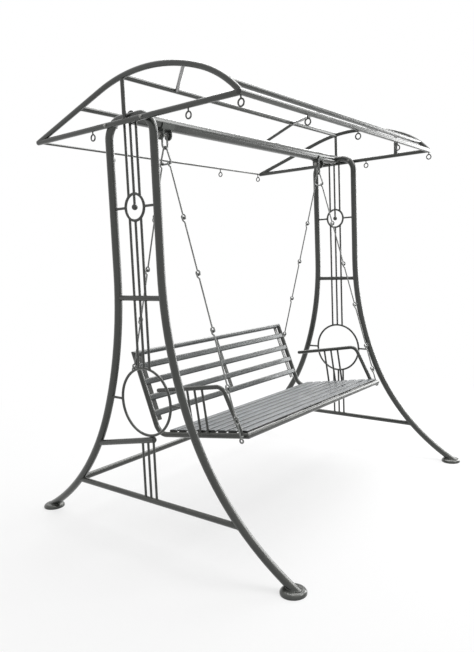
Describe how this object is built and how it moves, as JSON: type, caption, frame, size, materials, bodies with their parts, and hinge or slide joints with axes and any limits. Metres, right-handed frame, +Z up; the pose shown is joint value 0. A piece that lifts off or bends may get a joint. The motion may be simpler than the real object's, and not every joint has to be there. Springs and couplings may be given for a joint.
{
  "type": "jhoola swing",
  "caption": "Jhoola swing: bent-tube stand with ring-and-rod side frames and a bare canopy frame, and a slatted bench hung on rod-link chains.",
  "frame": {"origin": "on the floor, under the middle of the stand", "axes": "+X along the bench to its right end as seen from the front, +Y to the back, +Z up"},
  "size_m": [1.968, 1.7016, 2.1754],
  "materials": {
    "frame_paint": "satin",
    "slat_paint": "satin",
    "rod_steel": "satin",
    "zinc_steel": "satin"
  },
  "bodies": {
    "stand": {"canopy_bolts": "zinc_steel", "canopy_tie_rings": "frame_paint", "front_eave_rail": "frame_paint", "front_feet": "frame_paint", "front_purlin": "frame_paint", "hanger_bolts": "zinc_steel", "left_big_ring": "frame_paint", "left_canopy_chord": "frame_paint", "left_canopy_rib": "frame_paint", "left_frame_tube": "frame_paint", "left_hanger_bracket": "frame_paint", "left_infill_rods": "frame_paint", "left_low_crossbar": "frame_paint", "left_mid_crossbar": "frame_paint", "left_ring_rest": "frame_paint", "left_ring_struts": "frame_paint", "left_small_ring": "frame_paint", "rear_eave_rod": "frame_paint", "rear_feet": "frame_paint", "rear_purlin": "frame_paint", "rear_stretcher": "frame_paint", "ridge_posts": "frame_paint", "ridge_purlin": "frame_paint", "right_big_ring": "frame_paint", "right_canopy_chord": "frame_paint", "right_canopy_rib": "frame_paint", "right_end_post": "frame_paint", "right_frame_tube": "frame_paint", "right_hanger_bracket": "frame_paint", "right_infill_rods": "frame_paint", "right_low_crossbar": "frame_paint", "right_mid_crossbar": "frame_paint", "right_ring_struts": "frame_paint", "right_small_ring": "frame_paint", "ring_balls": "frame_paint", "roof_braces": "frame_paint", "top_beam": "frame_paint"},
    "left_shackle": {"left_shackle": "rod_steel"},
    "right_shackle": {"right_shackle": "rod_steel"},
    "swing": {"back_slats": "slat_paint", "back_straps": "frame_paint", "back_top_rail": "slat_paint", "front_seat_rail": "frame_paint", "left_armrest": "frame_paint", "left_armrest_rods": "frame_paint", "left_front_chain": "rod_steel", "left_hanger_ring": "rod_steel", "left_rear_chain": "rod_steel", "left_seat_tube": "frame_paint", "right_armrest": "frame_paint", "right_armrest_rods": "frame_paint", "right_front_chain": "rod_steel", "right_hanger_ring": "rod_steel", "right_rear_chain": "rod_steel", "right_seat_tube": "frame_paint", "seat_bearers": "frame_paint", "seat_eyes": "rod_steel", "seat_slats": "slat_paint"}
  },
  "joints": [
    {"name": "hanger_swing", "type": "hinge", "parent": "stand", "child": "left_shackle", "pos_m": [-0.713, 0, 1.934], "axis": [1, 0, 0], "range_deg": [-30, 30]},
    {"name": "seat_swing", "type": "hinge", "parent": "left_shackle", "child": "swing", "pos_m": [-0.713, 0, 1.872], "axis": [1, 0, 0], "range_deg": [-15, 15]},
    {"name": "right_hanger_swing", "type": "hinge", "parent": "stand", "child": "right_shackle", "pos_m": [0.713, 0, 1.934], "axis": [1, 0, 0], "range_deg": [-30, 30]}
  ],
  "couplings": [
    {"joint": "right_hanger_swing", "follows": "hanger_swing", "ratio": 1}
  ]
}
